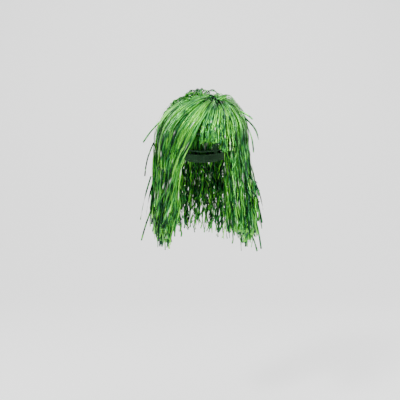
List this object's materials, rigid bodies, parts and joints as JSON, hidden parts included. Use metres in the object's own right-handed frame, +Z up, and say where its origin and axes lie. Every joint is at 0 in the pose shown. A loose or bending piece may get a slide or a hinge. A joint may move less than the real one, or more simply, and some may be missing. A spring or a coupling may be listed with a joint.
{
  "type": "costume wig",
  "caption": "Shoulder-length costume wig: layers of crinkled foil tinsel sewn on wefts to an open stretch cap, parted over the forehead.",
  "frame": {"origin": "centre of the head opening, level with the hem at the ears", "axes": "+Z up to the crown, -Y the side the wearer faces, +X to the right seen from the front"},
  "size_m": [0.2315, 0.2433, 0.3269],
  "materials": {
    "foil": "metallised green polyester foil, mirror-bright, crinkled",
    "elastic": "woven elastic tape, matte",
    "weft_tape": "stitched tape, matte",
    "lining_fabric": "knitted polyester, matte"
  },
  "bodies": {
    "cap": {"crown_patch": "lining_fabric", "rib_1": "elastic", "rib_2": "elastic", "rib_3": "elastic", "rib_4": "elastic", "rib_5": "elastic", "rib_6": "elastic", "rib_7": "elastic", "rib_8": "elastic", "hem_binding": "lining_fabric", "hem_elastic": "elastic", "binding_seam": "lining_fabric", "weft_1": "weft_tape", "fringe_1": "foil", "weft_2": "weft_tape", "fringe_2": "foil", "weft_3": "weft_tape", "fringe_3": "foil", "weft_4": "weft_tape", "fringe_4": "foil", "weft_5": "weft_tape", "fringe_5": "foil", "weft_6": "weft_tape", "fringe_6": "foil", "crown_tuft": "foil"},
    "side_right_front": {"lock_side_right_front": "foil"},
    "side_right_mid": {"lock_side_right_mid": "foil"},
    "side_right_rear": {"lock_side_right_rear": "foil"},
    "back_right": {"lock_back_right": "foil"},
    "back_centre": {"lock_back_centre": "foil"},
    "back_left": {"lock_back_left": "foil"},
    "side_left_rear": {"lock_side_left_rear": "foil"},
    "side_left_mid": {"lock_side_left_mid": "foil"},
    "side_left_front": {"lock_side_left_front": "foil"},
    "bang_left": {"lock_bang_left": "foil"},
    "bang_centre": {"lock_bang_centre": "foil"},
    "bang_right": {"lock_bang_right": "foil"}
  },
  "joints": [
    {"name": "side_right_front_swing", "type": "hinge", "parent": "cap", "child": "side_right_front", "pos_m": [0.0772, -0.05385, -0.052], "axis": [-0.4272, -0.9042, 0], "range_deg": [0, 80]},
    {"name": "side_right_mid_swing", "type": "hinge", "parent": "cap", "child": "side_right_mid", "pos_m": [0.089, 0.00092, -0.052], "axis": [0.007, -1, 0], "range_deg": [0, 80]},
    {"name": "side_right_rear_swing", "type": "hinge", "parent": "cap", "child": "side_right_rear", "pos_m": [0.07642, 0.05545, -0.052], "axis": [0.4411, -0.8975, 0], "range_deg": [0, 80]},
    {"name": "back_right_swing", "type": "hinge", "parent": "cap", "child": "back_right", "pos_m": [0.04415, 0.09384, -0.052], "axis": [0.8227, -0.5685, 0], "range_deg": [0, 80]},
    {"name": "back_centre_swing", "type": "hinge", "parent": "cap", "child": "back_centre", "pos_m": [0, 0.108, -0.052], "axis": [1, 0, 0], "range_deg": [0, 80]},
    {"name": "back_left_swing", "type": "hinge", "parent": "cap", "child": "back_left", "pos_m": [-0.04415, 0.09384, -0.052], "axis": [0.8227, 0.5685, 0], "range_deg": [0, 80]},
    {"name": "side_left_rear_swing", "type": "hinge", "parent": "cap", "child": "side_left_rear", "pos_m": [-0.07642, 0.05545, -0.052], "axis": [0.4411, 0.8975, 0], "range_deg": [0, 80]},
    {"name": "side_left_mid_swing", "type": "hinge", "parent": "cap", "child": "side_left_mid", "pos_m": [-0.089, -0.00092, -0.052], "axis": [-0.007, 1, 0], "range_deg": [0, 80]},
    {"name": "side_left_front_swing", "type": "hinge", "parent": "cap", "child": "side_left_front", "pos_m": [-0.07439, -0.05939, -0.052], "axis": [-0.4758, 0.8795, 0], "range_deg": [0, 80]},
    {"name": "bang_left_swing", "type": "hinge", "parent": "cap", "child": "bang_left", "pos_m": [-0.01808, -0.09992, 0.02324], "axis": [-0.9064, 0.4225, 0], "range_deg": [0, 80]},
    {"name": "bang_centre_swing", "type": "hinge", "parent": "cap", "child": "bang_centre", "pos_m": [0.02479, -0.09817, 0.02226], "axis": [-0.9666, -0.2562, 0], "range_deg": [0, 80]},
    {"name": "bang_right_swing", "type": "hinge", "parent": "cap", "child": "bang_right", "pos_m": [0.05181, -0.0833, 0.01731], "axis": [-0.7473, -0.6645, 0], "range_deg": [0, 80]}
  ]
}
